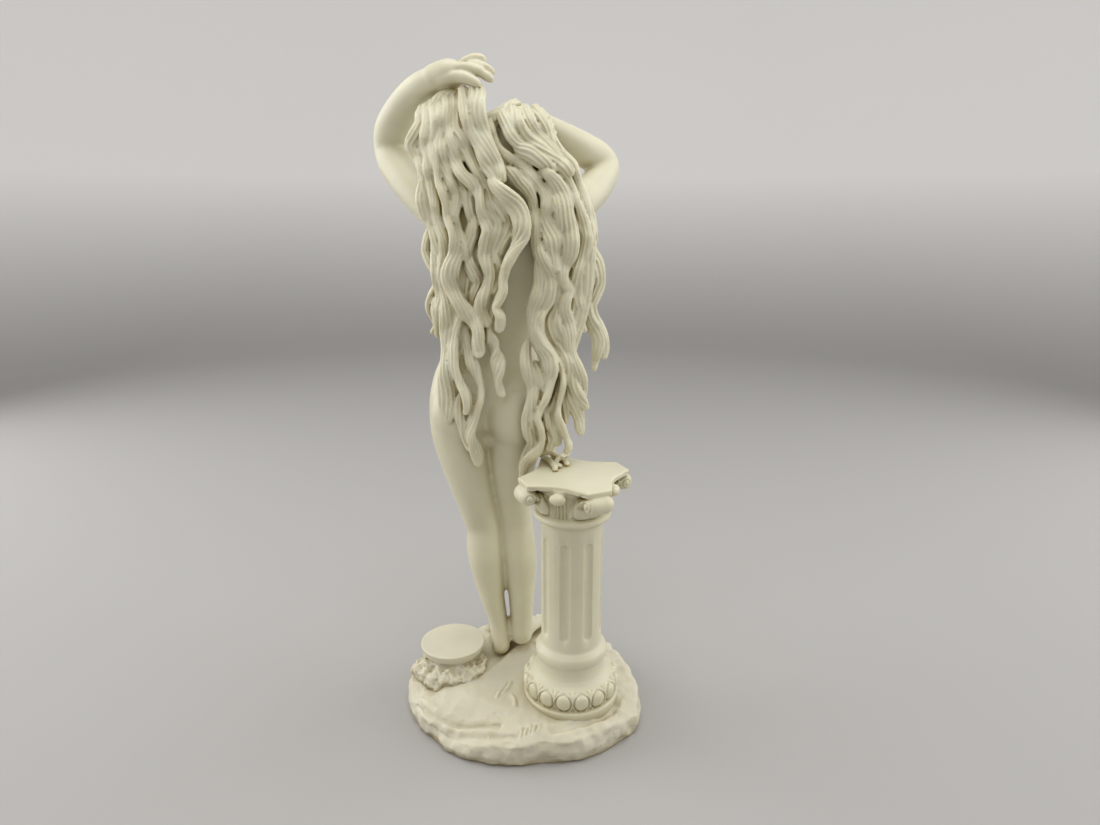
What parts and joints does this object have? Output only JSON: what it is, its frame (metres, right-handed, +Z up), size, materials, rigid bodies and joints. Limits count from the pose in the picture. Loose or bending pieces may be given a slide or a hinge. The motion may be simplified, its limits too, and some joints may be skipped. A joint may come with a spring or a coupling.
{
  "type": "statuette",
  "caption": "Cream resin statuette of a standing nude goddess lifting her long wavy hair, beside a short fluted column and a filled basin, on a rock base.",
  "frame": {"origin": "middle of the flat underside of the rock base", "axes": "+Z up; the figure faces -Y, its left side is +X and its right side, with the column, is -X"},
  "size_m": [0.1241, 0.1047, 0.3018],
  "materials": {
    "cast_resin": "cream cold-cast marble resin with a soft waxy satin"
  },
  "bodies": {
    "root": {"statue": "cast_resin"}
  },
  "joints": []
}
